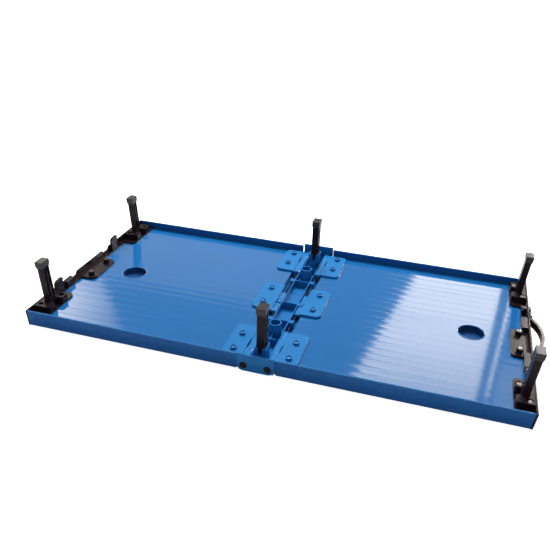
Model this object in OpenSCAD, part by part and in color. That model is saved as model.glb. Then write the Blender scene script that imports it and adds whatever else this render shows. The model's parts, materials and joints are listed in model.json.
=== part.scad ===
// Folding miniature table-tennis table, lying on its playing faces with its legs up.
// Millimetres. +X runs along the table towards the carry handle, +Y to the back long side,
// +Z up out of the underside. The origin is the middle of the table on the playing plane.

/* [Table] */
// Length of the open table, over both end walls
table_l = 650; // [600:5:700]
// Width of the table, over both side rails
table_w = 330; // [318:2:342]
// Thickness of a table board
board_t = 11; // [10:0.5:12]
// Height of the side rails and end walls
rail_h = 22; // [21.5:0.25:23]
// Wall thickness of the side rails and end walls
rail_t = 2.5; // [2:0.25:3]
// How far the end walls lean out at their top edge
flare = 2.4; // [0:0.2:3]
// Edge chamfer on rails and boards
edge_chamfer = 0.6; // [0.3:0.1:0.8]

/* [Ball pockets] */
// Diameter of the pocket that holds half a stored ball
pocket_d = 35; // [32:1:38]
// Depth of the pocket
pocket_depth = 8.5; // [7.5:0.25:9]
// Distance of the pocket's centre from the middle of the table
pocket_x = 252; // [240:1:258]
// Width of the round finger notch in the pocket's far wall
notch_d = 20; // [16:1:22]
// How far the notch runs under the skin, past the pocket's wall
notch_run = 8; // [4:1:14]

/* [Centre bridge] */
// Width of the bridge's end plates
bridge_w = 48.6; // [47:0.2:50]
// Thickness of the end plates
end_plate_t = 2; // [1.5:0.25:3]
// How far the end plates stand above the rails
end_plate_rise = 2; // [1:0.5:4]
// Thickness of the bridge floor, which carries the playing face
floor_t = 2.2; // [1.8:0.1:2.4]
// Thickness of the channel walls and ribs
wall_t = 1.4; // [1.2:0.1:1.8]
// Height of the channel walls
channel_h = 12; // [10:0.5:12.5]
// Half length of the channel walls
channel_half = 84; // [80:1:86]
// Distance of the round sockets from the middle
socket_y = 82; // [80:0.5:84]
// Outside diameter of a round socket
socket_d = 17; // [16:0.5:18]
// Bore of a round socket
socket_bore = 13.5; // [12:0.5:14]
// Height of a round socket
socket_h = 23; // [20:0.5:24]
// Distance of a net post from the long side of the table
net_post_inset = 36; // [34.5:0.5:38]
// Bore for a net post's peg
net_post_bore = 8.5; // [7:0.25:9]
// Depth of the net post bore
net_post_depth = 9; // [7:0.5:9.5]

/* [Fold hinges] */
// Distance between the two hinge pins
pin_pitch = 31.4; // [31:0.1:32]
// Height of the pins above the playing plane
pin_z = 8; // [7.9:0.1:8.3]
// Pin diameter
pin_d = 3; // [2.5:0.25:3.5]
// Outside diameter of the long outer barrels
barrel_d = 10.8; // [10:0.2:11]
// Outside diameter of the middle knuckles
knuckle_d = 6.2; // [5.6:0.2:6.4]
// Diameter of the bushings that carry the pin ends
bushing_d = 10; // [9:0.5:12]
// Thickness of a hinge plate
plate_t = 3; // [2.5:0.25:3.5]
// Outer edge of the outer hinge plates, from the middle of the table
plate_reach = 50; // [46:0.5:55]
// Outer edge of the middle hinge plates
middle_reach = 50.5; // [48:0.5:60]
// Distance of an outer plate's far end from the long side of the table
plate_inset = 9; // [7:0.5:12]
// Length of a middle hinge plate
middle_len = 74; // [70:1:80]
// Distance of a hinge pin from its screws, along the table
screw_reach = 20.8; // [20:0.2:22]
// Distance of the middle of an outer plate's screws from the long side of the table
plate_screw_inset = 38.5; // [37:0.5:40]
// Distance between the two screws of an outer plate
plate_screw_pitch = 35; // [32:0.5:38]
// Distance between the two screws of a middle plate
middle_screw_pitch = 42; // [38:0.5:46]

/* [Legs] */
// Corner leg section along the table
leg_x = 9; // [8:0.25:9]
// Middle leg section along the table
middle_leg_x = 10.4; // [9:0.2:10.6]
// Leg section across the table
leg_y = 14; // [12:0.5:15]
// Height of all the feet above the playing plane
stand_h = 80.5; // [74:0.5:88]
// Outward splay of the corner legs
splay = 4.5; // [2:0.5:5]
// Distance of a corner leg from the long side of the table
corner_leg_inset = 39; // [37:0.5:41]
// Distance of the leg pivots from the middle of the table's end walls
pivot_inset = 10.5; // [10.5:0.25:12]
// Height of the leg pivots above the playing plane
pivot_z = 17; // [16.9:0.1:17.2]
// Distance of a middle leg from the long side of the table
middle_leg_inset = 25; // [23:0.5:27]
// Height of a foot cap
cap_h = 10; // [8:0.5:14]
// How much wider than the leg a foot cap is, along the table
cap_over_x = 1.8; // [1.2:0.1:1.9]
// How much wider than the leg a foot cap is, across the table
cap_over_y = 3.2; // [2:0.2:4]
// Diameter of a leg pivot pin
leg_pin_d = 4; // [3:0.25:4.5]

/* [End rails] */
// Depth of the left corner pads, from the end wall's outer face
left_pad_depth = 25; // [24:0.5:27]
// Depth of the right corner pads
right_pad_depth = 22; // [21.5:0.5:25]
// Length of a corner pad along the end wall, from the side rail
pad_len = 72; // [68:1:73]
// Thickness of the pads and strips
pad_t = 2.5; // [2:0.25:3]
// Depth of the right centre plate, from the end wall's outer face
right_plate_depth = 23; // [22:0.5:26]
// Depth of the left centre plate
left_plate_depth = 28.5; // [26:0.5:31]
// Middle of the centre plates along the end wall
centre_y = -9.5; // [-11:0.5:-8]
// Half length of the centre plates
centre_half = 32.5; // [31:0.5:33.5]
// Thickness of the centre plates
centre_t = 3; // [2.5:0.25:4]

/* [Latch hooks] */
// Length of a hook's root along the end wall
hook_len = 16.5; // [13:0.5:17]
// Thickness of a hook
hook_t = 3.5; // [2.5:0.25:3.75]
// How far a hook stands above the rail
hook_rise = 13; // [10:0.25:13]
// Reach of the barb
barb = 2.5; // [1.5:0.25:3]
// Middle of the front hook
front_hook_y = -95; // [-97:0.5:-93]
// Middle of the back hook
back_hook_y = 60.5; // [59:0.5:62]
// Travel of a release button
button_travel = 2; // [1.8:0.1:2.2]
// How far a button stands out of the end wall
button_rise = 5.5; // [4:0.25:6.5]

/* [Carry handle] */
// Middle of the handle along the end wall
handle_y = 5; // [3:0.5:7]
// Distance between the handle's two screws
handle_pitch = 108; // [105:1:111]
// How far the strap stands off the end wall
handle_rise = 18; // [14:0.5:24]
// Thickness of the strap
strap_t = 4; // [3:0.25:5]
// Height of the strap
strap_h = 10; // [9:0.5:12]

/* [Screws] */
// Head diameter of the hinge screws
head_d = 5.6; // [5:0.2:6]
// Head diameter of the end rail and handle screws
rail_head_d = 6.6; // [6:0.2:7.4]
// Shank diameter of all the screws
shank_d = 3; // [2.5:0.25:3.5]

/* [Clearances] */
// Gap between parts of different bodies that swing past each other
swing_gap = 0.3; // [0.3:0.05:0.4]
// Radial running clearance of a pin in its bore
running = 0.05; // [0.02:0.01:0.08]

/* [Hidden] */
$fn = 64;

BLUE_BOARD = [0.22, 0.46, 0.74];
BLUE_RAIL = [0.17, 0.33, 0.60];
BLUE_BRIGHT = [0.16, 0.55, 0.85];
BLACK = [0.16, 0.13, 0.14];
GREY_BLACK = [0.27, 0.24, 0.25];
STEEL = [0.72, 0.72, 0.74];

eps = 0.01;
cut = 1;                                      // how far a cutting body runs past a face
half_l = table_l / 2;
half_w = table_w / 2;
board_end = half_l - rail_t;                  // where boards and side rails meet the end wall
board_half_w = half_w - rail_t;
pin_x = pin_pitch / 2;
barrel_r = barrel_d / 2;
knuckle_r = knuckle_d / 2;
board_gap = 2.1;                              // from a barrel to the board's edge
board_start = pin_x + barrel_r + board_gap;
bridge_half = board_start - 0.5;              // half width of the bridge's playing face
rail_start = bridge_w / 2 + 1.2;
plate_in = half_w + swing_gap;                // inner face of the end plates
plate_out = plate_in + end_plate_t;
plate_corner_r = bridge_w / 2 - pin_x;
channel_out = pin_x - knuckle_r - swing_gap;  // outer face of a channel wall
channel_in = channel_out - wall_t;
rib_y = [-56.5, -8.5, 59.5];                  // places of the cross ribs
web_rib_y = socket_y + 22.5;                  // cross rib outside a round socket

barrel_ends = [channel_half + 1.5, half_w];
plate_ends = [barrel_ends[0] + 0.5, half_w - plate_inset];
plate_start = pin_x + barrel_r + 2 * swing_gap;
slot_len = 17;                                // slot between barrel and plate
plate_corner = 8;
screw_x = pin_x + screw_reach;
boss_d = head_d + 2.8;
boss_h = 3;
screw_depth = 7;                              // how far a screw bites into the board
plate_screw_y = half_w - plate_screw_inset;
outer_screws = [for (s = [-1, 1]) plate_screw_y + s * plate_screw_pitch / 2];
middle_screws = [for (s = [-1, 1]) s * middle_screw_pitch / 2];
hinge_screw_y = concat([for (y = outer_screws) -y], middle_screws, outer_screws);

knuckle_len = 22;
knuckle_y = [for (s = [-1, 1]) rib_y[1] + s * 16];
lug_len = 8;
lug_reach = 3.1;                              // how far a lug runs past its pin

pivot_x = half_l - pivot_inset;
corner_leg_y = half_w - corner_leg_inset;
middle_leg_y = half_w - middle_leg_inset;
net_post_y = half_w - net_post_inset;
leg_run = (stand_h - pivot_z) / cos(splay);   // from the pivot to the foot, along the leg
leg_end_gap = 1.5;                            // cap material above the end of the leg
slot_half = leg_y / 2 + swing_gap + 0.05;     // half width of the slot a leg folds in
cup_t = 1.6;                                  // wall of the cup that takes a middle leg
cup_h = pin_z + screw_reach - boss_d / 2 - 0.7;  // a cup ends below the folded hinge bosses
root_x = middle_leg_x + 2.6;                  // the leg is wider in its cup
root_z = net_post_depth + 2;                  // the leg stands on the roof of the net post bore
root_top = cup_h - 1.5;
cup_half = [root_x / 2 + cup_t, leg_y / 2 + cup_t];
key_w = 5.5;                                  // key of the leg in the notch of the cup
key_z = 14.6;
dimple_d = 2.4;
leg_pin_reach = 4.5;                          // how far a leg pin bites into each cheek
cap_step = 3;                                 // height of the narrower skirt of a foot cap

cheek_w = 15;                                 // width of a leg cheek across the table
cheek_step = 1.5;                             // a cheek ends before its pad
cheek_top = rail_h - 0.5;
slot_floor_t = pivot_z - leg_x / 2 - swing_gap - board_t;
stop_gap = 0.75;                              // room for the splayed leg before its stop
screw_dy = 15.4;                              // rail screws, either side of a corner leg
left_screw_insets = [18, 6];                  // rail screws, from the end wall's outer face
right_screw_insets = [16.5, 6];
left_centre_inset = 16.8;                     // the same for the screws of the centre plates
right_centre_inset = 12.4;
centre_screw_dy = 21.5;
left_sink = 3.6;                              // depth of the left and right counterbores
right_sink = 2.8;
rail_boss_h = 5.4;                            // bosses round the screws of a centre plate
rail_boss_wall = 1.1;
boss_sink = 1.4;
dip_y = [centre_y - centre_half - 16.5, centre_y - centre_half + 2, centre_y + centre_half + 6.5,
    back_hook_y - hook_len / 2];
dip_h = 4.6;                                  // depth of the dips in the left wall
dip_slope = 5;
window = 8;                                   // window in the left wall under a barb

hook_out = board_end + 0.6;                   // a hook folds in beside the opposite end wall
hook_in = hook_out - hook_t;
hook_top = rail_h + hook_rise;
hook_y = [front_hook_y, back_hook_y];
slot_gap = 0.6;                               // room beside a folded hook
fold_pitch = 2 * (pin_x + pin_z);             // between the playing faces of the folded table
shoulder = hook_top - 3.8;                    // underside of a barb
lip_z = fold_pitch - shoulder + 0.6;          // the button's lip, over a folded barb
lip_overlap = button_travel - 0.8;            // how far the lip covers the barb
lip_t = 3.2;
lip_len = 2.8;
arm = [3.8, 2.2];                             // inner and outer face of the arm, from the lip's tip
stem_y = [4.5, 11.5];                         // button stem, from the end of the hook
stem_z = [14.2, rail_h - 1.2];
guide = 0.4;                                  // room round the stem in the wall
flange_t = 1.4;
flange_x = board_end + flare * stem_z[0] / rail_h - swing_gap;

handle_half = handle_pitch / 2;
handle_z = rail_h - strap_h / 2 - 0.5;
strap_z0 = handle_z - strap_h / 2;
handle_x = half_l + lean(strap_z0) - 0.1;     // seat of the handle on the leaning wall
tab_half = 6.5;                               // half length of a handle end tab
seat_run = 9;                                 // how far a seat runs under the arch
arch_half = handle_half - tab_half + 1;
arch_r = (arch_half * arch_half + handle_rise * handle_rise) / (2 * handle_rise);

// ---- helpers -------------------------------------------------------------------------

// How far an end wall has leant out at height z
function lean(z) = flare * z / rail_h;

// A box from its low and high corners
module box(lo, hi) {
    translate(lo) cube(hi - lo);
}

// A plate whose two corners at x1 are round
module tongue_plate(x0, x1, y0, y1, z0, z1, r) {
    box([x0, y0, z0], [x1 - r, y1, z1]);
    box([x1 - r - eps, y0 + r, z0], [x1, y1 - r, z1]);
    for (y = [y0 + r, y1 - r])
        translate([x1 - r, y, z0]) cylinder(r = r, h = z1 - z0);
}

// A round bar along Y
module bar_y(x, z, r, y0, y1) {
    translate([x, y0, z]) rotate([-90, 0, 0]) cylinder(r = r, h = y1 - y0);
}

// A pan-head screw pointing down, its head's underside at the origin
module screw(d, bite) {
    head_h = d * 0.27;
    rim = head_h * 0.3;
    slot_w = d * 0.13;
    difference() {
        union() {
            cylinder(r = d / 2, h = head_h - rim);
            translate([0, 0, head_h - rim - eps]) cylinder(r1 = d / 2, r2 = d * 0.39, h = rim, $fn = 48);
            translate([0, 0, -bite]) cylinder(r = shank_d / 2, h = bite + eps);
        }
        for (a = [0, 90])
            rotate([0, 0, a]) translate([-d * 0.3, -slot_w / 2, head_h * 0.4]) cube([d * 0.6, slot_w, head_h]);
    }
}

// ---- boards and side rails ------------------------------------------------------------

module ball_pocket_cut() {
    translate([pocket_x, 0, board_t - pocket_depth]) cylinder(r = pocket_d / 2, h = pocket_depth + cut);
    // finger notch that runs under the skin behind the pocket
    intersection() {
        translate([pocket_x, 0, board_t - 1]) rotate([-90, 0, 0])
            cylinder(r = notch_d / 2, h = pocket_d / 2 + notch_run);
        box([pocket_x - notch_d, 0, board_t - pocket_depth],
            [pocket_x + notch_d, pocket_d / 2 + notch_run + cut, board_t - 1.2]);
    }
}

// Bead round the pocket's mouth, and the lip of the finger notch
module ball_pocket_trim() {
    bead = 0.7;
    translate([pocket_x, 0, board_t]) rotate_extrude()
        translate([pocket_d / 2 + bead, 0]) circle(r = bead, $fn = 24);
    intersection() {
        translate([pocket_x, 0, board_t - 1]) rotate([-90, 0, 0]) difference() {
            cylinder(r = notch_d / 2 + 0.9, h = pocket_d / 2);
            translate([0, 0, -cut]) cylinder(r = notch_d / 2, h = pocket_d + 2 * cut);
        }
        box([pocket_x - notch_d, pocket_d / 2 - 7, board_t - pocket_depth - eps],
            [pocket_x + notch_d, pocket_d / 2, board_t - 1.2]);
        difference() {
            translate([pocket_x, 0, 0]) cylinder(r = pocket_d / 2 + eps, h = board_t);
            translate([pocket_x, 0, -cut]) cylinder(r = pocket_d / 2 - 1.6, h = board_t + 2 * cut);
        }
    }
}

module board_right(insets, centre_inset) {
    color(BLUE_BOARD) {
        difference() {
            translate([0, board_half_w, 0]) rotate([90, 0, 0]) linear_extrude(height = 2 * board_half_w)
                polygon([[board_start, 0], [board_end, 0], [board_end + lean(board_t), board_t],
                    [board_start, board_t]]);
            ball_pocket_cut();
            // lit chamfer along the hinge edge
            translate([board_start, -half_w, board_t]) rotate([0, 45, 0])
                translate([-edge_chamfer, 0, -edge_chamfer]) cube([2 * edge_chamfer, table_w, 2 * edge_chamfer]);
            for (y = hinge_screw_y)
                translate([screw_x, y, board_t - screw_depth]) cylinder(r = shank_d / 2, h = screw_depth + cut);
            for (p = rail_screws(0, insets, centre_inset))
                translate([p.x, p.y, board_t - screw_depth]) cylinder(r = shank_d / 2, h = screw_depth + cut);
        }
        ball_pocket_trim();
    }
}

module left_board() {
    mirror([1, 0, 0]) board_right(left_screw_insets, left_centre_inset);
}

module right_board() {
    board_right(right_screw_insets, right_centre_inset);
}

// Side rail on the front right
module side_rail() {
    c = edge_chamfer;
    color(BLUE_RAIL) difference() {
        translate([rail_start, -half_w, 0]) rotate([90, 0, 90])
            linear_extrude(height = board_end + flare - rail_start)
                polygon([[c, 0], [rail_t, 0], [rail_t, rail_h - c], [rail_t - c, rail_h],
                    [c, rail_h], [0, rail_h - c], [0, c]]);
        // leaning end against the end wall
        translate([board_end, cut - half_w + rail_t, 0]) rotate([90, 0, 0])
            linear_extrude(height = rail_t + 2 * cut)
                polygon([[lean(-cut), -cut], [flare + cut, -cut], [flare + cut, rail_h + cut],
                    [lean(rail_h + cut), rail_h + cut]]);
    }
}

module left_front_side_rail() {
    mirror([1, 0, 0]) side_rail();
}

module left_back_side_rail() {
    mirror([1, 0, 0]) mirror([0, 1, 0]) side_rail();
}

module right_front_side_rail() {
    side_rail();
}

module right_back_side_rail() {
    mirror([0, 1, 0]) side_rail();
}

// ---- fold hinges ------------------------------------------------------------------------

module screw_boss(x, y) {
    translate([x, y, board_t + plate_t - eps]) cylinder(r = boss_d / 2, h = boss_h + eps);
}

module screw_boss_cut(x, y) {
    translate([x, y, board_t + plate_t]) cylinder(r = head_d / 2 + 0.2, h = boss_h + cut);
    translate([x, y, board_t - cut]) cylinder(r = shank_d / 2, h = plate_t + 2 * cut);
}

// Outer hinge on the back right: a long barrel, a web and a plate on the board
module outer_hinge() {
    y0 = plate_ends[0];
    y1 = plate_ends[1];
    color(BLUE_BRIGHT) difference() {
        union() {
            bar_y(pin_x, pin_z, barrel_r, barrel_ends[0], barrel_ends[1]);
            box([pin_x, y0, board_t], [plate_start + 1, y1, board_t + plate_t - 1]);
            tongue_plate(plate_start, plate_reach, y0, y1, board_t, board_t + plate_t, plate_corner);
            for (y = outer_screws) screw_boss(screw_x, y);
        }
        bar_y(pin_x, pin_z, pin_d / 2 + running, barrel_ends[0] - cut, barrel_ends[1] + cut);
        // slot between barrel and plate
        box([plate_start - 1.2, plate_screw_y - slot_len / 2, board_t - cut],
            [plate_start + 0.6, plate_screw_y + slot_len / 2, board_t + plate_t + cut]);
        for (y = outer_screws) screw_boss_cut(screw_x, y);
    }
}

// Middle hinge: a plate with two knuckles, one on each side of the bridge's middle lug
module middle_hinge() {
    y0 = -middle_len / 2;
    y1 = middle_len / 2;
    // the foot of the bracket clears the channel wall when the board stands up
    bracket_x = pin_x + channel_h - pin_z + swing_gap;
    color(BLUE_BRIGHT) difference() {
        union() {
            for (y = knuckle_y) {
                bar_y(pin_x, pin_z, knuckle_r, y - knuckle_len / 2, y + knuckle_len / 2);
                box([pin_x, y - knuckle_len / 2, pin_z],
                    [board_start - 0.1, y + knuckle_len / 2, pin_z + knuckle_r - 0.1]);
                box([bracket_x, y - knuckle_len / 2, pin_z + 1],
                    [board_start - 0.1, y + knuckle_len / 2, board_t + 1]);
            }
            box([bracket_x, y0, board_t], [plate_start + 1, y1, board_t + plate_t - 1]);
            tongue_plate(plate_start, middle_reach, y0, y1, board_t, board_t + plate_t, plate_corner);
            for (y = middle_screws) screw_boss(screw_x, y);
        }
        bar_y(pin_x, pin_z, pin_d / 2 + running, y0 - cut, y1 + cut);
        for (y = middle_screws) screw_boss_cut(screw_x, y);
    }
}

module left_front_hinge() {
    mirror([1, 0, 0]) mirror([0, 1, 0]) outer_hinge();
}

module left_middle_hinge() {
    mirror([1, 0, 0]) middle_hinge();
}

module left_back_hinge() {
    mirror([1, 0, 0]) outer_hinge();
}

module right_front_hinge() {
    mirror([0, 1, 0]) outer_hinge();
}

module right_middle_hinge() {
    middle_hinge();
}

module right_back_hinge() {
    outer_hinge();
}

module hinge_screws() {
    color(BLUE_BRIGHT) for (y = hinge_screw_y)
        translate([screw_x, y, board_t + plate_t]) screw(head_d, plate_t + screw_depth);
}

module left_hinge_screws() {
    mirror([1, 0, 0]) hinge_screws();
}

module right_hinge_screws() {
    hinge_screws();
}

module hinge_pin() {
    color(STEEL) bar_y(pin_x, pin_z, pin_d / 2, -plate_out + end_plate_t * 0.4, plate_out - end_plate_t * 0.4);
}

module left_hinge_pin() {
    mirror([1, 0, 0]) hinge_pin();
}

module right_hinge_pin() {
    hinge_pin();
}

// Four blind bushings in the end plates, each with a ring sunk round its button
module pin_bushings() {
    proud = 0.4;
    color(BLACK) for (x = [-pin_x, pin_x], s = [-1, 1]) scale([1, s, 1]) difference() {
        union() {
            bar_y(x, pin_z, bushing_d / 2, plate_in, plate_out - proud);
            bar_y(x, pin_z, bushing_d * 0.36, plate_out - 2 * proud, plate_out + proud);
        }
        bar_y(x, pin_z, pin_d / 2, plate_in - cut, plate_out - end_plate_t * 0.4);
    }
}

// ---- centre bridge ----------------------------------------------------------------------

module end_plate() {
    h = rail_h + end_plate_rise;
    r = plate_corner_r;
    difference() {
        union() {
            box([-bridge_w / 2, plate_in, pin_z], [bridge_w / 2, plate_out, h]);
            box([-pin_x, plate_in, 0], [pin_x, plate_out, pin_z + eps]);
            for (x = [-pin_x, pin_x]) bar_y(x, pin_z, min(r, pin_z), plate_in, plate_out);
            for (s = [-1, 1]) scale([s, 1, 1])
                box([pin_x, plate_in, pin_z - eps], [bridge_w / 2, plate_out, pin_z + 1]);
        }
        for (x = [-pin_x, pin_x]) bar_y(x, pin_z, bushing_d / 2, plate_in - cut, plate_out + cut);
    }
}

// Cup that takes a middle leg, with the boss of the net post bore
module leg_cup() {
    r = cup_t;
    translate([0, middle_leg_y, 0]) {
        box([-cup_half.x, r - cup_half.y, 0], [cup_half.x, cup_half.y - r, cup_h]);
        box([r - cup_half.x, -cup_half.y, 0], [cup_half.x - r, cup_half.y, cup_h]);
        for (x = [-1, 1], y = [-1, 1])
            translate([x * (cup_half.x - r), y * (cup_half.y - r), 0]) cylinder(r = r, h = cup_h);
    }
    translate([0, net_post_y, 0]) cylinder(r = net_post_bore / 2 + 2, h = root_z);
}

module leg_cup_cut() {
    box([-root_x / 2, middle_leg_y - leg_y / 2, root_z], [root_x / 2, middle_leg_y + leg_y / 2, cup_h + cut]);
    leg_key(middle_leg_y, cup_half.y + cut, cup_h + cut);
    translate([0, net_post_y, -cut]) cylinder(r = net_post_bore / 2, h = net_post_depth + cut);
}

// Key across a middle leg's root, and the notches it fills
module leg_key(y, half, top) {
    bar_y(0, key_z + key_w / 2, key_w / 2, y - half, y + half);
    box([-key_w / 2, y - half, key_z + key_w / 2], [key_w / 2, y + half, top]);
}

// Block that holds a hinge pin beside the channel
module pin_lug(y) {
    box([channel_in, y - lug_len / 2, 0], [pin_x + lug_reach, y + lug_len / 2, channel_h]);
}

module centre_bridge() {
    color(BLUE_BRIGHT) difference() {
        union() {
            box([-bridge_half, -plate_in - eps, 0], [bridge_half, plate_in + eps, floor_t]);
            for (s = [-1, 1]) {
                scale([s, 1, 1]) box([channel_in, -channel_half, 0], [channel_out, channel_half, channel_h]);
                scale([s, 1, 1]) for (y = rib_y) pin_lug(y);
                scale([1, s, 1]) end_plate();
                scale([1, s, 1]) leg_cup();
                translate([0, s * socket_y, 0]) cylinder(r = socket_d / 2, h = socket_h);
                // cross rib outside the round socket, and the web that ties it to the socket
                scale([1, s, 1]) box([-cup_half.x, web_rib_y, 0], [cup_half.x, web_rib_y + wall_t, channel_h]);
                scale([1, s, 1]) box([-wall_t / 2, socket_y, 0], [wall_t / 2, web_rib_y + 4, channel_h]);
            }
            for (y = rib_y) box([-channel_out, y - wall_t / 2, 0], [channel_out, y + wall_t / 2, channel_h]);
        }
        for (s = [-1, 1]) {
            scale([1, s, 1]) leg_cup_cut();
            translate([0, s * socket_y, floor_t]) cylinder(r = socket_bore / 2, h = socket_h);
        }
        for (x = [-pin_x, pin_x]) bar_y(x, pin_z, pin_d / 2, -plate_in - cut, plate_in + cut);
    }
}

// ---- legs -------------------------------------------------------------------------------

// Two long grooves in the face towards +X of a leg that is w thick
module leg_grooves(w, z0, z1) {
    groove = leg_y * 0.24;
    depth = w * 0.28;
    for (s = [-1, 1])
        box([w / 2 - depth, s * leg_y / 4.4 - groove / 2, z0], [w / 2 + cut, s * leg_y / 4.4 + groove / 2, z1]);
}

// A corner leg before it is splayed: the pivot at the origin, the foot up
module corner_leg_body() {
    color(BLACK) difference() {
        union() {
            bar_y(0, 0, leg_x / 2, -leg_y / 2, leg_y / 2);
            box([-leg_x / 2, -leg_y / 2, 0], [leg_x / 2, leg_y / 2, leg_run - leg_end_gap - cap_over_x]);
        }
        bar_y(0, 0, leg_pin_d / 2 + running, -leg_y, leg_y);
        leg_grooves(leg_x, leg_x, leg_run);
    }
}

// A foot cap on a leg that is w thick and ends at z_end; tilt is the angle that its sole is cut at
module foot_cap(w, z_end, tilt) {
    x = w / 2 + cap_over_x / 2;
    y = leg_y / 2 + cap_over_y / 2;
    z0 = z_end - cap_h;
    skirt = 0.4;
    color(GREY_BLACK) difference() {
        union() {
            box([-x, -y, z0 + cap_step], [x, y, z_end + cut]);
            box([-x + skirt, -y + 2 * skirt, z0], [x - skirt, y - 2 * skirt, z0 + cap_step + eps]);
        }
        box([-w / 2, -leg_y / 2, z0 - cut], [w / 2, leg_y / 2, z_end - leg_end_gap - cap_over_x]);
        // sole, level when the leg is splayed
        translate([0, 0, z_end]) rotate([0, tilt, 0]) translate([-2 * x, -2 * y, 0]) cube([4 * x, 4 * y, 4 * cut]);
    }
}

// Puts a leg that splays towards side_x in place
module splayed(side_x, side_y) {
    translate([side_x * pivot_x, side_y * corner_leg_y, pivot_z]) rotate([0, side_x * splay, 0]) children();
}

module middle_leg(side_y) {
    x = middle_leg_x / 2;
    color(BLACK) translate([0, side_y * middle_leg_y, 0]) difference() {
        union() {
            box([-x, -leg_y / 2, root_z], [x, leg_y / 2, stand_h - leg_end_gap - cap_over_x]);
            box([-root_x / 2, -leg_y / 2, root_z], [root_x / 2, leg_y / 2, root_top]);
            leg_key(0, cup_half.y, root_top);
        }
        leg_grooves(middle_leg_x, cup_h + 1, stand_h);
        // dimples in the ends of the key
        for (s = [-1, 1]) scale([1, s, 1])
            bar_y(0, key_z + key_w / 2, dimple_d / 2, cup_half.y - 0.8, cup_half.y + cut);
    }
}

module middle_cap(side_y) {
    translate([0, side_y * middle_leg_y, 0]) foot_cap(middle_leg_x, stand_h, 0);
}

module front_left_leg() {
    splayed(-1, -1) corner_leg_body();
}

module front_left_foot_cap() {
    splayed(-1, -1) foot_cap(leg_x, leg_run, splay);
}

module back_left_leg() {
    splayed(-1, 1) corner_leg_body();
}

module back_left_foot_cap() {
    splayed(-1, 1) foot_cap(leg_x, leg_run, splay);
}

module front_right_leg() {
    splayed(1, -1) corner_leg_body();
}

module front_right_foot_cap() {
    splayed(1, -1) foot_cap(leg_x, leg_run, -splay);
}

module back_right_leg() {
    splayed(1, 1) corner_leg_body();
}

module back_right_foot_cap() {
    splayed(1, 1) foot_cap(leg_x, leg_run, -splay);
}

module front_middle_leg() {
    middle_leg(-1);
}

module front_middle_foot_cap() {
    middle_cap(-1);
}

module back_middle_leg() {
    middle_leg(1);
}

module back_middle_foot_cap() {
    middle_cap(1);
}

// ---- end rails --------------------------------------------------------------------------

// Places of the six screws that hold an end rail on a right-hand board, and their heads' height
function corner_screws(sink, insets) = [for (s = [-1, 1], k = [0, 1])
    [half_l - insets[k], s * corner_leg_y + (1 - 2 * k) * screw_dy, cheek_top - sink]];
function centre_screws(inset) = [for (s = [-1, 1])
    [half_l - inset, centre_y + s * centre_screw_dy, board_t + centre_t + rail_boss_h - boss_sink]];
function rail_screws(sink, insets, inset) = concat(corner_screws(sink, insets), centre_screws(inset));

// Pad, two cheeks and the stop of one corner leg; s is the side of the table
module leg_housing(s, depth) {
    y_leg = s * corner_leg_y;
    y_side = s * board_half_w;
    y_inner = s * (board_half_w - pad_len);
    tongue_back(half_l - depth, min(y_side, y_inner), max(y_side, y_inner), board_t, board_t + pad_t, 7);
    for (k = [-1, 1]) {
        y0 = y_leg + k * slot_half;
        y1 = y0 + k * cheek_w;
        tongue_back(half_l - depth + cheek_step, min(y0, y1), max(y0, y1), board_t, cheek_top, 3);
    }
    // stop that the splayed leg leans on
    box([pivot_x + leg_x / 2 + stop_gap, y_leg - slot_half - eps, board_t],
        [board_end + flare, y_leg + slot_half + eps, cheek_top]);
}

// A plate against the end wall, round at its two corners towards the table's middle
module tongue_back(x0, y0, y1, z0, z1, r) {
    translate([board_end + lean(z1) + eps, 0, 0]) mirror([1, 0, 0])
        tongue_plate(0, board_end + lean(z1) + eps - x0, y0, y1, z0, z1, r);
}

// Pivot pin of a corner leg on the right
module leg_pin(y) {
    reach = leg_y / 2 + leg_pin_reach;
    bar_y(pivot_x, pivot_z, leg_pin_d / 2, y - reach, y + reach);
}

module leg_housing_cut(s, depth) {
    // the leg lies in this slot when it is folded
    box([half_l - depth - cut, s * corner_leg_y - slot_half, board_t + slot_floor_t],
        [pivot_x + leg_x / 2 + stop_gap, s * corner_leg_y + slot_half, rail_h + cut]);
    leg_pin(s * corner_leg_y);
}

// End wall with its housings and centre plate, for the right-hand board
module end_rail_base(depth, plate_depth, corner, sink, insets, centre_inset) {
    c = edge_chamfer;
    difference() {
        union() {
            translate([board_end, half_w, 0]) rotate([90, 0, 0])
                linear_extrude(height = table_w)
                    polygon([[0, 0], [rail_t - c, 0], [rail_t, c], [rail_t + lean(rail_h - c), rail_h - c],
                        [rail_t + flare - c, rail_h], [flare + c, rail_h], [lean(rail_h - c), rail_h - c]]);
            for (s = [-1, 1]) leg_housing(s, depth);
            tongue_back(half_l - plate_depth, centre_y - centre_half, centre_y + centre_half,
                board_t, board_t + centre_t, corner);
            for (p = centre_screws(centre_inset)) translate([p.x, p.y, board_t])
                cylinder(r = rail_head_d / 2 + rail_boss_wall, h = centre_t + rail_boss_h);
            // low strip that joins pads and centre plate along the wall
            box([board_end - 4, -board_half_w + pad_len, board_t],
                [board_end + lean(board_t + pad_t), board_half_w - pad_len, board_t + pad_t]);
        }
        for (s = [-1, 1]) leg_housing_cut(s, depth);
        for (p = rail_screws(sink, insets, centre_inset)) {
            translate([p.x, p.y, board_t - cut]) cylinder(r = shank_d / 2, h = rail_h);
            translate([p.x, p.y, p.z]) cylinder(r = rail_head_d / 2 + 0.3, h = rail_h);
        }
    }
}

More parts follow.
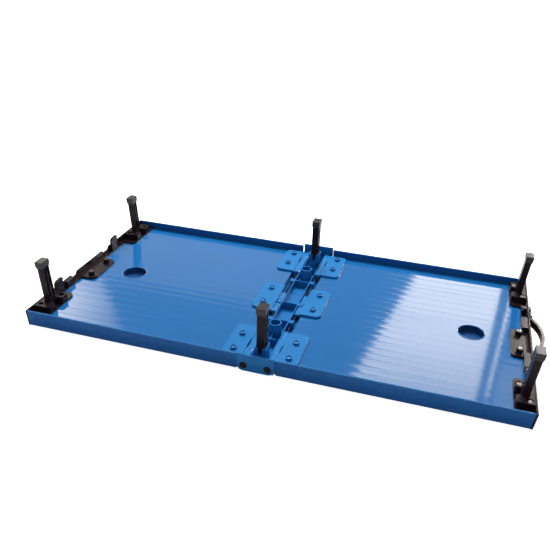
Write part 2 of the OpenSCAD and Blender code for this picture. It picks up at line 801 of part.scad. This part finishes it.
// A latch hook on the left-hand rail, as its mirror image on the right
module hook(y) {
    y0 = y - hook_len / 2;
    y1 = y + hook_len / 2;
    difference() {
        translate([hook_out, 0, 0]) rotate([90, 0, -90])
            linear_extrude(height = hook_t)
                polygon([[-y0, board_t], [-y0, hook_top - 4], [-y0 - 3, hook_top - 1.2], [-y1 + 1, hook_top],
                    [-y1 - barb, hook_top - 2.8], [-y1 - barb, hook_top - 3.6], [-y1, shoulder], [-y1, board_t]]);
        // slope at the tip that rides over the button's lip
        translate([hook_in, y0 - cut, hook_top - 1.6]) rotate([0, -45, 0])
            translate([-cut, 0, 0]) cube([6, hook_len + barb + 2 * cut, 6]);
    }
}

// Dip with sloped ends in the top of the wall
module wall_dip(y0, y1) {
    translate([board_end - 4, 0, 0]) rotate([90, 0, 90]) linear_extrude(height = 4 + rail_t + flare + cut)
        polygon([[y0 + dip_slope, rail_h - dip_h], [y1 - dip_slope, rail_h - dip_h], [y1, rail_h], [y1, rail_h + cut],
            [y0, rail_h + cut], [y0, rail_h]]);
}

module left_end_rail() {
    stiffener_y = [front_hook_y + hook_len / 2 + barb + window + 1, dip_y[0]];
    color(BLACK) mirror([1, 0, 0]) difference() {
        union() {
            end_rail_base(left_pad_depth, left_plate_depth, 10, left_sink, left_screw_insets,
                left_centre_inset);
            for (y = hook_y) {
                hook(y);
                box([hook_in, y - hook_len / 2, board_t], [board_end + flare, y + hook_len / 2, rail_h - 1]);
            }
            // wall stiffener between the front window and the dip
            box([board_end - 3, stiffener_y[0], board_t], [board_end + flare, stiffener_y[1], rail_h - 1]);
        }
        // windows under the barbs
        for (y = hook_y)
            box([hook_in - cut, y + hook_len / 2 + 1, board_t + 1.5],
                [half_l + flare + cut, y + hook_len / 2 + 1 + window, rail_h - 2]);
        // dips in the wall before and behind the centre plate
        wall_dip(dip_y[0], dip_y[1]);
        wall_dip(dip_y[2], dip_y[3]);
    }
}

module right_end_rail() {
    rib_x = board_end - 6;
    rib_top = rail_h - 1.8;
    front_rib = [front_hook_y + hook_len / 2 + stem_y[1] + 3, centre_y - centre_half + 2];
    back_rib = [centre_y + centre_half - 2, back_hook_y - hook_len / 2 - slot_gap - 1];
    color(BLACK) difference() {
        union() {
            end_rail_base(right_pad_depth, right_plate_depth, 6, right_sink, right_screw_insets,
                right_centre_inset);
            // ribs beside the hook slots
            for (r = [front_rib, back_rib]) box([rib_x, r[0], board_t], [board_end + flare, r[1], rib_top]);
        }
        for (y = hook_y) {
            // room for the folded hooks
            box([hook_in - slot_gap, y - hook_len / 2 - slot_gap, fold_pitch - hook_top - swing_gap - 0.05],
                [hook_out + slot_gap, y + hook_len / 2 + barb + slot_gap, rail_h + cut]);
            // window that guides the button's stem
            box([board_end - cut, y + hook_len / 2 + stem_y[0] - guide, stem_z[0] - guide],
                [half_l + flare + cut, y + hook_len / 2 + stem_y[1] + guide, stem_z[1] + guide]);
        }
        // holes for the handle screws
        for (s = [-1, 1]) translate([board_end - cut, handle_y + s * handle_half, handle_z]) rotate([0, 90, 0])
            cylinder(r = shank_d / 2, h = rail_t + flare + 2 * cut);
        // flat seats for the handle's end tabs
        for (s = [-1, 1]) translate([0, handle_y, 0]) scale([1, s, 1])
            box([handle_x, handle_half - tab_half - seat_run, strap_z0 - 0.5],
                [half_l + flare + cut, handle_half + tab_half + 0.5, rail_h + cut]);
    }
}

// Button whose lip lies over the barb of a folded hook until it is pushed in
module release_button(y) {
    y1 = y + hook_len / 2;
    lip_x = hook_in + lip_overlap;
    color(GREY_BLACK) difference() {
        union() {
            box([lip_x - arm[0], y1 + stem_y[0], stem_z[0]], [half_l + button_rise, y1 + stem_y[1], stem_z[1]]);
            // flange that keeps it from sliding out
            box([flange_x - flange_t, y1 + stem_y[0] - flange_t, stem_z[0]],
                [flange_x, y1 + stem_y[1] + flange_t, stem_z[1]]);
            // arm and lip
            box([lip_x - arm[0], y1 + slot_gap, lip_z], [lip_x - arm[1], y1 + stem_y[0] + eps, lip_z + lip_t]);
            box([lip_x - arm[0], y1 + slot_gap, lip_z], [lip_x, y1 + slot_gap + lip_len, lip_z + lip_t]);
        }
        // slope that lets the hook push the lip aside
        translate([lip_x, y1, lip_z + 1.4]) rotate([0, -45, 0]) cube([2 * lip_t, stem_y[0], 2 * lip_t]);
    }
}

module front_release_button() {
    release_button(front_hook_y);
}

module back_release_button() {
    release_button(back_hook_y);
}

module rail_screw_set(sink, insets, centre_inset) {
    color(STEEL) {
        for (p = corner_screws(sink, insets))
            translate(p) screw(rail_head_d, p.z - board_t + screw_depth);
        for (p = centre_screws(centre_inset))
            translate(p) screw(rail_head_d, p.z - board_t + screw_depth);
    }
}

module left_rail_screws() {
    mirror([1, 0, 0]) rail_screw_set(left_sink, left_screw_insets, left_centre_inset);
}

module right_rail_screws() {
    rail_screw_set(right_sink, right_screw_insets, right_centre_inset);
}

module leg_pins() {
    color(STEEL) for (s = [-1, 1]) leg_pin(s * corner_leg_y);
}

module left_leg_pins() {
    mirror([1, 0, 0]) leg_pins();
}

module right_leg_pins() {
    leg_pins();
}

// ---- carry handle -----------------------------------------------------------------------

module carry_handle() {
    centre_x = handle_x + handle_rise - arch_r;
    color(BLACK) translate([0, handle_y, 0]) difference() {
        union() {
            intersection() {
                translate([centre_x, 0, strap_z0]) difference() {
                    cylinder(r = arch_r, h = strap_h, $fn = 180);
                    translate([0, 0, -cut]) cylinder(r = arch_r - strap_t, h = strap_h + 2 * cut, $fn = 180);
                }
                box([handle_x, -arch_half, 0], [handle_x + handle_rise + cut, arch_half, rail_h]);
            }
            for (s = [-1, 1])
                box([handle_x, s * handle_half - tab_half, strap_z0],
                    [handle_x + strap_t, s * handle_half + tab_half, strap_z0 + strap_h]);
        }
        for (s = [-1, 1]) translate([handle_x - cut, s * handle_half, handle_z]) rotate([0, 90, 0])
            cylinder(r = shank_d / 2, h = strap_t + 2 * cut);
    }
}

module handle_screws() {
    color(STEEL) for (s = [-1, 1])
        translate([handle_x + strap_t, handle_y + s * handle_half, handle_z]) rotate([0, 90, 0])
            screw(rail_head_d, strap_t + 1.4);
}

centre_bridge();
left_hinge_pin();
right_hinge_pin();
pin_bushings();
front_middle_leg();
front_middle_foot_cap();
back_middle_leg();
back_middle_foot_cap();
left_board();
left_front_side_rail();
left_back_side_rail();
left_front_hinge();
left_middle_hinge();
left_back_hinge();
left_hinge_screws();
left_end_rail();
left_rail_screws();
left_leg_pins();
right_board();
right_front_side_rail();
right_back_side_rail();
right_front_hinge();
right_middle_hinge();
right_back_hinge();
right_hinge_screws();
right_end_rail();
right_rail_screws();
right_leg_pins();
carry_handle();
handle_screws();
front_release_button();
back_release_button();
front_left_leg();
front_left_foot_cap();
back_left_leg();
back_left_foot_cap();
front_right_leg();
front_right_foot_cap();
back_right_leg();
back_right_foot_cap();
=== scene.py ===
"""Looks of the folding miniature table tennis table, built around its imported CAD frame."""

import json
import math

import bmesh
import bpy
from mathutils import Matrix, Vector


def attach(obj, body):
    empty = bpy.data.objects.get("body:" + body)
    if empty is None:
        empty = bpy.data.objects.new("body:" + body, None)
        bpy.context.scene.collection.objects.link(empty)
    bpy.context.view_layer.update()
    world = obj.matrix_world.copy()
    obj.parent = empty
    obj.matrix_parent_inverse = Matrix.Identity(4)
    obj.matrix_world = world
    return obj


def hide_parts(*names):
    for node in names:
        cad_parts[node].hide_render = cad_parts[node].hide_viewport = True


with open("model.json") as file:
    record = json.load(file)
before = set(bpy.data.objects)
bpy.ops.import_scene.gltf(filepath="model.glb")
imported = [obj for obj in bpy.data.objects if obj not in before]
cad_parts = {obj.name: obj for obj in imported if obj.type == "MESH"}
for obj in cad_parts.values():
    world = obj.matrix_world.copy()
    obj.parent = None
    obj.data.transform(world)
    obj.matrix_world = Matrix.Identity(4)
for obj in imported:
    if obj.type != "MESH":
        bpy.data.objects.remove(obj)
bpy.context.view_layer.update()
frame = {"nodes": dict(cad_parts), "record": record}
NODES = frame["nodes"]
BODY_OF = {
    node: body
    for body, nodes in frame["record"]["behaviour"]["bodies"].items()
    for node in nodes
}
SLOT_OF = {part["node"]: part["material_slot"] for part in frame["record"]["subparts"]}
MM = 0.001
SCENE = bpy.context.scene
WHITE = (1.0, 1.0, 1.0, 1.0)


# ---- camera ----------------------------------------------------------------------------

CAMERA_AT = Vector((0.1965, -0.7720, 0.4772))
CAMERA_AIM = Vector((-0.0514, 0.0865, 0.0))
CAMERA_ROLL = math.radians(1.82)
FOCAL_PX = 636.4                  # focal length in pixels of a 550 pixel wide frame
FRAME_PX = 550.0


def make_camera():
    view = (CAMERA_AIM - CAMERA_AT).normalized()
    right = view.cross(Vector((0, 0, 1))).normalized()
    up = right.cross(view)
    rolled_right = math.cos(CAMERA_ROLL) * right + math.sin(CAMERA_ROLL) * up
    rolled_up = math.cos(CAMERA_ROLL) * up - math.sin(CAMERA_ROLL) * right
    data = bpy.data.cameras.new("camera")
    data.sensor_fit = "HORIZONTAL"
    data.angle = 2 * math.atan(FRAME_PX / 2 / FOCAL_PX)
    camera = bpy.data.objects.new("camera", data)
    SCENE.collection.objects.link(camera)
    turn = Matrix((rolled_right, rolled_up, -view)).transposed()
    camera.matrix_world = Matrix.Translation(CAMERA_AT) @ turn.to_4x4()
    SCENE.camera = camera


# ---- node helpers ----------------------------------------------------------------------

NOISE_ROUGHNESS = 0.55
MIDDLE_OF_NOISE = (0.3, 0.7)      # nearly all of a noise texture's values lie between these


class Shader:
    """A material's node tree with short calls for the nodes that are used here."""

    def __init__(self, name):
        self.material = bpy.data.materials.new(name)
        self.material.use_nodes = True
        self.tree = self.material.node_tree
        self.bsdf = self.tree.nodes["Principled BSDF"]
        self.coord = self.tree.nodes.new("ShaderNodeTexCoord").outputs["Object"]

    def link(self, source, target):
        self.tree.links.new(source, target)

    def place(self):
        """The X, Y and Z outputs of the object coordinates, in metres."""
        split = self.tree.nodes.new("ShaderNodeSeparateXYZ")
        self.link(self.coord, split.inputs["Vector"])
        return split.outputs

    def noise(self, per_metre, detail=3.0):
        """Noise with about this many patches per metre along X, Y and Z."""
        scaled = self.tree.nodes.new("ShaderNodeMapping")
        scaled.inputs["Scale"].default_value = per_metre
        self.link(self.coord, scaled.inputs["Vector"])
        node = self.tree.nodes.new("ShaderNodeTexNoise")
        node.inputs["Scale"].default_value = 1.0
        node.inputs["Detail"].default_value = detail
        node.inputs["Roughness"].default_value = NOISE_ROUGHNESS
        self.link(scaled.outputs["Vector"], node.inputs["Vector"])
        return node.outputs["Fac"]

    def ramp(self, value, low, high, at=MIDDLE_OF_NOISE):
        """Turns the values between the two in at into numbers from low to high."""
        node = self.tree.nodes.new("ShaderNodeMapRange")
        node.inputs["From Min"].default_value = at[0]
        node.inputs["From Max"].default_value = at[1]
        node.inputs["To Min"].default_value = low
        node.inputs["To Max"].default_value = high
        self.link(value, node.inputs["Value"])
        return node.outputs["Result"]

    def mix(self, factor, first, second):
        """Colour between first and second."""
        node = self.tree.nodes.new("ShaderNodeMix")
        node.data_type = "RGBA"
        self.link(factor, node.inputs["Factor"])
        for socket, value in ((node.inputs["A"], first), (node.inputs["B"], second)):
            if isinstance(value, tuple):
                socket.default_value = (*value, 1.0)
            else:
                self.link(value, socket)
        return node.outputs["Result"]

    def math(self, operation, first, second=0.0):
        node = self.tree.nodes.new("ShaderNodeMath")
        node.operation = operation
        for socket, value in zip(node.inputs, (first, second)):
            if isinstance(value, (int, float)):
                socket.default_value = value
            else:
                self.link(value, socket)
        return node.outputs["Value"]

    def bump(self, height, distance, after=None):
        """Adds relief of the given depth in metres, on top of the relief in after."""
        node = self.tree.nodes.new("ShaderNodeBump")
        node.inputs["Strength"].default_value = 1.0
        node.inputs["Distance"].default_value = distance
        self.link(height, node.inputs["Height"])
        if after is not None:
            self.link(after, node.inputs["Normal"])
        self.link(node.outputs["Normal"], self.bsdf.inputs["Normal"])
        return node.outputs["Normal"]

    def set(self, **values):
        for name, value in values.items():
            self.bsdf.inputs[name.replace("_", " ")].default_value = value


# ---- materials -------------------------------------------------------------------------

PLASTIC_IOR = 1.49
PLASTIC_MOTTLE = (14, 14, 14)
PLASTIC_GLOSS_PATCHES = (60, 60, 60)
PLASTIC_GRAIN = (900, 900, 900)
EDGE_Z = (20.7 * MM, 21.3 * MM)   # painted highlight: the side rails' top edge is made paler from here up, where light catches it
EDGE_SHARE = 0.7
# the painted highlight's colour on the side rails' top edge
EDGE_PAINTED_HIGHLIGHT = (0.060, 0.280, 0.650)


def moulded_plastic(name, colour, darker, roughness, grain, gloss, painted_edge_highlight=False):
    """Injection-moulded plastic: slight mottling, uneven gloss and a fine grain, and where asked a
    painted highlight along the top edge.
    """
    s = Shader(name)
    body = s.mix(s.ramp(s.noise(PLASTIC_MOTTLE), 0.0, 1.0), darker, colour)
    if painted_edge_highlight:
        # painted highlight: the top edge is mixed towards a paler blue
        body = s.mix(s.ramp(s.place()["Z"], 0.0, EDGE_SHARE, EDGE_Z), body, EDGE_PAINTED_HIGHLIGHT)
    s.link(body, s.bsdf.inputs["Base Color"])
    fine = s.noise(PLASTIC_GRAIN, 2)
    uneven = s.ramp(s.noise(PLASTIC_GLOSS_PATCHES), roughness * 0.92, roughness * 1.1)
    s.link(uneven, s.bsdf.inputs["Roughness"])
    s.bump(fine, grain * MM)
    s.set(IOR=PLASTIC_IOR, Specular_IOR_Level=gloss)
    return s.material


SHEET_IOR = 1.6
RIB_PITCH = 15 * MM               # spacing of the hidden ribs that show as waves in the boards
RIB_DRIFT = 6.0                   # how far the waves' phase wanders, in radians
RIB_DRIFT_PATCHES = (1.5, 24, 1.5)
RIB_SWELL_PATCHES = (2, 14, 2)
RIB_LEAST_SWELL = 0.15
RIB_DEPTH = 0.026 * MM
SINK_TOP = (1.0, 0.95)            # the part of a wave's crest that is sunk to a narrow groove
SINK_DEPTH = 0.034 * MM
STREAKS = (4, 260, 4)
STREAK_DEPTH = 0.045 * MM
SHEET_CLOUDS = (7, 16, 7)
SHEET_ROUGHNESS = (0.04, 0.09)
BOARD_T = 11 * MM
POCKET_X = 252 * MM
POCKET_R = 17.6 * MM
POCKET_FLOOR_Z = 1.0 * MM         # below it the disc under the pocket is playing face
POCKET_TOP_Z = BOARD_T - 0.2 * MM
# painted shade: the dark colour inside the ball pocket
POCKET_PAINTED_SHADE = (0.006, 0.065, 0.250)
POCKET_ROUGHNESS = 0.6
BEAD_R = 19.0 * MM
BEAD_Z = BOARD_T + 0.1 * MM
# painted highlight: the pale colour of the bead round the pocket
BEAD_PAINTED_HIGHLIGHT = (0.100, 0.380, 0.780)


def board_plastic(name, colour, darker):
    """Extruded sheet: glossy, with long waves over its hidden ribs and fine drawn lines.

    The ball pocket's inside is dull, with painted shade that darkens it, and the bead round it has
    a painted highlight that makes it pale.
    """
    s = Shader(name)
    at = s.place()

    phase = s.math("MULTIPLY", at["Y"], 2 * math.pi / RIB_PITCH)
    drift = s.math("MULTIPLY", s.noise(RIB_DRIFT_PATCHES, 2), RIB_DRIFT)
    swell = s.ramp(s.noise(RIB_SWELL_PATCHES, 1), RIB_LEAST_SWELL, 1.0)
    ribs = s.math("SINE", s.math("ADD", phase, drift))
    wave = s.math("MULTIPLY", ribs, swell)
    sink = s.ramp(ribs, 0.0, 1.0, SINK_TOP)

    streaks = s.noise(STREAKS)
    clouds = s.noise(SHEET_CLOUDS)
    shade = s.math("ADD", s.math("MULTIPLY", streaks, 0.6), s.math("MULTIPLY", clouds, 0.4))

    along = s.math("SUBTRACT", s.math("ABSOLUTE", at["X"]), POCKET_X)
    across = s.math("POWER", at["Y"], 2.0)
    reach = s.math("SQRT", s.math("ADD", s.math("POWER", along, 2.0), across))
    below_rim = s.math("LESS_THAN", at["Z"], POCKET_TOP_Z)
    above_floor = s.math("GREATER_THAN", at["Z"], POCKET_FLOOR_Z)
    in_depth = s.math("MULTIPLY", below_rim, above_floor)
    # mask of the pocket's inside, for its painted shade and its dull gloss
    inside = s.math("MULTIPLY", s.math("LESS_THAN", reach, POCKET_R), in_depth)
    proud = s.math("GREATER_THAN", at["Z"], BEAD_Z)
    # mask of the bead, for its painted highlight
    bead = s.math("MULTIPLY", s.math("LESS_THAN", reach, BEAD_R), proud)

    # painted highlight on the bead round the pocket
    sheet = s.mix(bead, s.mix(s.ramp(shade, 0.0, 1.0), darker, colour), BEAD_PAINTED_HIGHLIGHT)
    # painted shade: the pocket's inside is darkened
    s.link(s.mix(inside, sheet, POCKET_PAINTED_SHADE), s.bsdf.inputs["Base Color"])
    dull = s.math("MULTIPLY", inside, POCKET_ROUGHNESS)
    s.link(s.math("ADD", s.ramp(streaks, *SHEET_ROUGHNESS), dull), s.bsdf.inputs["Roughness"])
    ribbed = s.bump(wave, RIB_DEPTH)
    sunk = s.bump(sink, SINK_DEPTH, after=ribbed)
    s.bump(streaks, STREAK_DEPTH, after=sunk)
    s.set(IOR=SHEET_IOR)
    return s.material


STEEL_STAINS = (300, 300, 300)
STEEL_GLOSS_PATCHES = (700, 700, 700)
TURNING_LINES = (1500, 1500, 300)
TURNING_DEPTH = 0.01 * MM


def plated_metal(name, colour, worn, roughness, metallic=1.0, gloss=0.5):
    """Plated steel with faint turning lines and small changes of gloss."""
    s = Shader(name)
    stained = s.mix(s.ramp(s.noise(STEEL_STAINS), 0.0, 1.0), worn, colour)
    s.link(stained, s.bsdf.inputs["Base Color"])
    uneven = s.ramp(s.noise(STEEL_GLOSS_PATCHES, 2), roughness * 0.8, roughness * 1.3)
    s.link(uneven, s.bsdf.inputs["Roughness"])
    s.bump(s.noise(TURNING_LINES, 2), TURNING_DEPTH)
    s.set(Metallic=metallic, Specular_IOR_Level=gloss)
    return s.material


# colour, its darker patches
SHEET_LOOKS = {
    "board_blue": ((0.013, 0.168, 0.478), (0.010, 0.149, 0.428)),
}
# colour, its darker patches, roughness, depth of the grain in mm, specular level, painted edge
# highlight
PLASTIC_LOOKS = {
    "rail_blue": ((0.013, 0.122, 0.400), (0.012, 0.114, 0.378), 0.26, 0.002, 0.15, True),
    "bridge_blue": ((0.022, 0.222, 0.570), (0.018, 0.204, 0.530), 0.28, 0.006, 0.18),
    "channel_blue": ((0.016, 0.185, 0.510), (0.013, 0.170, 0.475), 0.28, 0.004, 0.16),
    "black_plastic": ((0.023, 0.014, 0.017), (0.019, 0.011, 0.014), 0.27, 0.010, 0.10),
    "black_rubber": ((0.062, 0.054, 0.057), (0.048, 0.042, 0.044), 0.34, 0.015, 0.18),
}
# colour, its worn patches, roughness, metallic, specular level
METAL_LOOKS = {
    "steel": ((0.62, 0.61, 0.62), (0.45, 0.44, 0.46), 0.16),
    # painted shade: a darker copy of steel for the screws that sit in shade
    "shaded_steel": ((0.22, 0.20, 0.21), (0.14, 0.12, 0.13), 0.18),
    "dark_steel": ((0.008, 0.030, 0.080), (0.005, 0.020, 0.055), 0.50, 0.1, 0.08),
    "blue_steel": ((0.42, 0.72, 0.98), (0.34, 0.64, 0.94), 0.15, 0.1),
}
MATERIALS = {
    name: make(name, *values)
    for make, looks in (
        (board_plastic, SHEET_LOOKS),
        (moulded_plastic, PLASTIC_LOOKS),
        (plated_metal, METAL_LOOKS),
    )
    for name, values in looks.items()
}


# ---- pieces ----------------------------------------------------------------------------

# These two differ from the other nodes of their slot: the left end rail's screws get painted
# shade, a darker steel than the right one's, and the bridge is a deeper blue than the hinge plates
# round it
OWN_LOOK = {"left_rail_screws": "shaded_steel", "centre_bridge": "channel_blue"}

# How far a node's edges are rounded, by how its name ends
ROUNDING = {
    "board": 0.25 * MM,
    "side_rail": 0.3 * MM,
    "hinge": 0.35 * MM,
    "end_rail": 0.3 * MM,
    "leg": 0.5 * MM,
    "foot_cap": 0.7 * MM,
    "centre_bridge": 0.2 * MM,
    "carry_handle": 0.6 * MM,
    "release_button": 0.4 * MM,
    "pin_bushings": 0.3 * MM,
}
ROUNDING_STEPS = 2
ROUNDED_FROM = math.radians(32)   # an edge that bends less than this stays as it is
FLAT_WITHIN = math.radians(0.6)
SAME_POINT = 0.001 * MM


def look(node):
    return MATERIALS[OWN_LOOK.get(node, SLOT_OF[node])]


def clean_copy(node):
    """The node's mesh with its doubled points joined and its flat faces whole."""
    mesh = NODES[node].data.copy()
    shape = bmesh.new()
    shape.from_mesh(mesh)
    bmesh.ops.remove_doubles(shape, verts=shape.verts, dist=SAME_POINT)
    bmesh.ops.dissolve_limit(shape, angle_limit=FLAT_WITHIN, verts=shape.verts, edges=shape.edges)
    bmesh.ops.recalc_face_normals(shape, faces=shape.faces)
    shape.to_mesh(mesh)
    shape.free()
    return mesh


def add_rounded(node, radius):
    """Adds a copy of the node with its edges rounded, in place of the sharp one."""
    piece = bpy.data.objects.new(node + ".rounded", clean_copy(node))
    SCENE.collection.objects.link(piece)
    piece.data.materials.clear()
    piece.data.materials.append(look(node))
    for face in piece.data.polygons:
        face.use_smooth = True
    bevel = piece.modifiers.new("bevel", "BEVEL")
    bevel.width = radius
    bevel.segments = ROUNDING_STEPS
    bevel.limit_method = "ANGLE"
    bevel.angle_limit = ROUNDED_FROM
    bevel.use_clamp_overlap = True
    weighted = piece.modifiers.new("normals", "WEIGHTED_NORMAL")
    weighted.keep_sharp = True
    weighted.weight = 100
    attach(piece, BODY_OF[node])
    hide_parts(node)


def dress_nodes():
    for name, node in NODES.items():
        node.data.materials.clear()
        node.data.materials.append(look(name))
        for ending, radius in ROUNDING.items():
            if name.endswith(ending):
                add_rounded(name, radius)
                break


# ---- studio ----------------------------------------------------------------------------

WALL_GLOW = 0.58                  # the world's strength low down
CEILING_GLOW = 0.30
WALL_TO_CEILING = (0.05, 0.36)    # sines of the elevations where the change starts and ends


def make_world():
    """White for the camera, and for the rest a pale wall under a dimmer ceiling."""
    world = bpy.data.worlds.new("studio")
    world.use_nodes = True
    tree = world.node_tree
    tree.nodes.clear()
    lit = tree.nodes.new("ShaderNodeBackground")
    lit.inputs["Color"].default_value = WHITE
    coord = tree.nodes.new("ShaderNodeTexCoord")
    split = tree.nodes.new("ShaderNodeSeparateXYZ")
    fade = tree.nodes.new("ShaderNodeMapRange")
    fade.interpolation_type = "SMOOTHSTEP"
    fade.inputs["From Min"].default_value = WALL_TO_CEILING[0]
    fade.inputs["From Max"].default_value = WALL_TO_CEILING[1]
    fade.inputs["To Min"].default_value = WALL_GLOW
    fade.inputs["To Max"].default_value = CEILING_GLOW
    tree.links.new(coord.outputs["Generated"], split.inputs["Vector"])
    tree.links.new(split.outputs["Z"], fade.inputs["Value"])
    tree.links.new(fade.outputs["Result"], lit.inputs["Strength"])
    seen = tree.nodes.new("ShaderNodeBackground")
    seen.inputs["Color"].default_value = WHITE
    path = tree.nodes.new("ShaderNodeLightPath")
    mix = tree.nodes.new("ShaderNodeMixShader")
    out = tree.nodes.new("ShaderNodeOutputWorld")
    tree.links.new(path.outputs["Is Camera Ray"], mix.inputs[0])
    tree.links.new(lit.outputs[0], mix.inputs[1])
    tree.links.new(seen.outputs[0], mix.inputs[2])
    tree.links.new(mix.outputs[0], out.inputs["Surface"])
    SCENE.world = world


FLOOR_HALF = 6.0
FLOOR_GAP = 0.5 * MM              # the floor lies this far under the playing faces
FLOOR_ROUGHNESS = 0.9
FLOOR_PATCHES = (2, 2, 2)
FLOOR_GREYS = ((0.90, 0.90, 0.90), (0.93, 0.93, 0.93))
FLOOR_GLOW = 0.85                 # lifts the floor to white for the camera
FLOOR_GLOSSY_SHARE = 0.3          # share of that glow that shows in glossy surfaces


def make_floor():
    mesh = bpy.data.meshes.new("floor")
    corners = [(-1, -1), (1, -1), (1, 1), (-1, 1)]
    mesh.from_pydata([(x * FLOOR_HALF, y * FLOOR_HALF, 0) for x, y in corners], [], [(0, 1, 2, 3)])
    floor = bpy.data.objects.new("floor", mesh)
    SCENE.collection.objects.link(floor)
    floor.location.z = -FLOOR_GAP
    s = Shader("floor")
    s.set(Roughness=FLOOR_ROUGHNESS)
    s.link(s.mix(s.noise(FLOOR_PATCHES), *FLOOR_GREYS), s.bsdf.inputs["Base Color"])
    path = s.tree.nodes.new("ShaderNodeLightPath").outputs
    in_gloss = s.math("MULTIPLY", path["Is Glossy Ray"], FLOOR_GLOSSY_SHARE)
    seen = s.math("MAXIMUM", path["Is Camera Ray"], in_gloss)
    s.link(s.math("MULTIPLY", seen, FLOOR_GLOW), s.bsdf.inputs["Emission Strength"])
    s.set(Emission_Color=WHITE)
    mesh.materials.append(s.material)


KEY_AT = Vector((-0.28, 1.30, 1.50))
KEY_AIM = Vector((0, 0, 0))
KEY_SIZE = (1.0, 0.8)
KEY_WATTS = 52


def make_key_light():
    """A soft light from behind that doesn't show in the boards."""
    data = bpy.data.lights.new("key", "AREA")
    data.shape = "RECTANGLE"
    data.size, data.size_y = KEY_SIZE
    data.energy = KEY_WATTS
    light = bpy.data.objects.new("key", data)
    SCENE.collection.objects.link(light)
    light.location = KEY_AT
    light.rotation_euler = (KEY_AIM - KEY_AT).to_track_quat("-Z", "Y").to_euler()
    light.visible_camera = False
    light.visible_glossy = False


CARD_Y = 1.5                      # the plane behind the table that the cards stand in
CARD_BANDS = (1.2, 1.0, 34.0)     # uneven cloth: brighter and dimmer bands across a card
CARD_DIMMEST = 0.70
CARD_BRIGHTEST = 1.15
WARM = (1.0, 0.93, 0.78)
NEUTRAL = (1.0, 0.94, 0.92)

# name, outline as (x, z), strength, tint, and fade or None; fade is the axis along which the
# glow changes, where on it the glow has gone, and where it is full
CARDS = (
    ("card_right", [(0.13, 0.66), (0.435, 0.66), (0.43, 1.32), (-0.12, 1.32)],
     6.0, WARM, ("Z", 2.2, 0.9)),
    ("card_strip", [(0.470, 0.74), (0.482, 0.74), (0.476, 1.24), (0.464, 1.24)],
     6.0, WARM, None),
    ("card_window", [(0.61, 0.62), (0.90, 0.62), (0.90, 0.89), (0.61, 0.89)],
     66.0, NEUTRAL, None),
    ("haze_right", [(0.50, 1.02), (0.90, 0.96), (0.90, 1.60), (0.50, 1.60)],
     1.4, WARM, None),
    ("card_left", [(-1.30, 0.98), (-1.15, 1.45), (-1.75, 1.45), (-1.50, 0.98)],
     6.0, WARM, ("X", -1.15, -1.60)),
    ("card_far_left", [(-1.26, 0.66), (-1.60, 0.98), (-1.80, 1.20), (-2.2, 1.20), (-2.2, 0.66)],
     6.0, WARM, None),
    ("haze_left", [(-1.26, 0.45), (-0.2, 0.45), (-0.3, 0.97), (-1.29, 0.97)],
     0.72, WARM, None),
)


def make_card(name, outline, strength, tint, fade):
    """A glowing sheet behind the table that shows as a soft patch in what is glossy."""
    mesh = bpy.data.meshes.new(name)
    mesh.from_pydata([(x, CARD_Y, z) for x, z in outline], [], [tuple(range(len(outline)))])
    card = bpy.data.objects.new(name, mesh)
    SCENE.collection.objects.link(card)
    s = Shader(name)
    level = s.ramp(s.noise(CARD_BANDS), strength * CARD_DIMMEST, strength * CARD_BRIGHTEST)
    if fade:
        axis, gone, full = fade
        level = s.math("MULTIPLY", level, s.ramp(s.place()[axis], 0.0, 1.0, (gone, full)))
    glow = s.tree.nodes.new("ShaderNodeEmission")
    glow.inputs["Color"].default_value = (*tint, 1.0)
    s.link(level, glow.inputs["Strength"])
    s.link(glow.outputs[0], s.tree.nodes["Material Output"].inputs["Surface"])
    mesh.materials.append(s.material)
    card.visible_camera = False
    card.visible_diffuse = False


# ---- main ------------------------------------------------------------------------------

make_camera()
dress_nodes()
make_world()
make_floor()
make_key_light()
for card_values in CARDS:
    make_card(*card_values)
SCENE.view_settings.view_transform = "Standard"
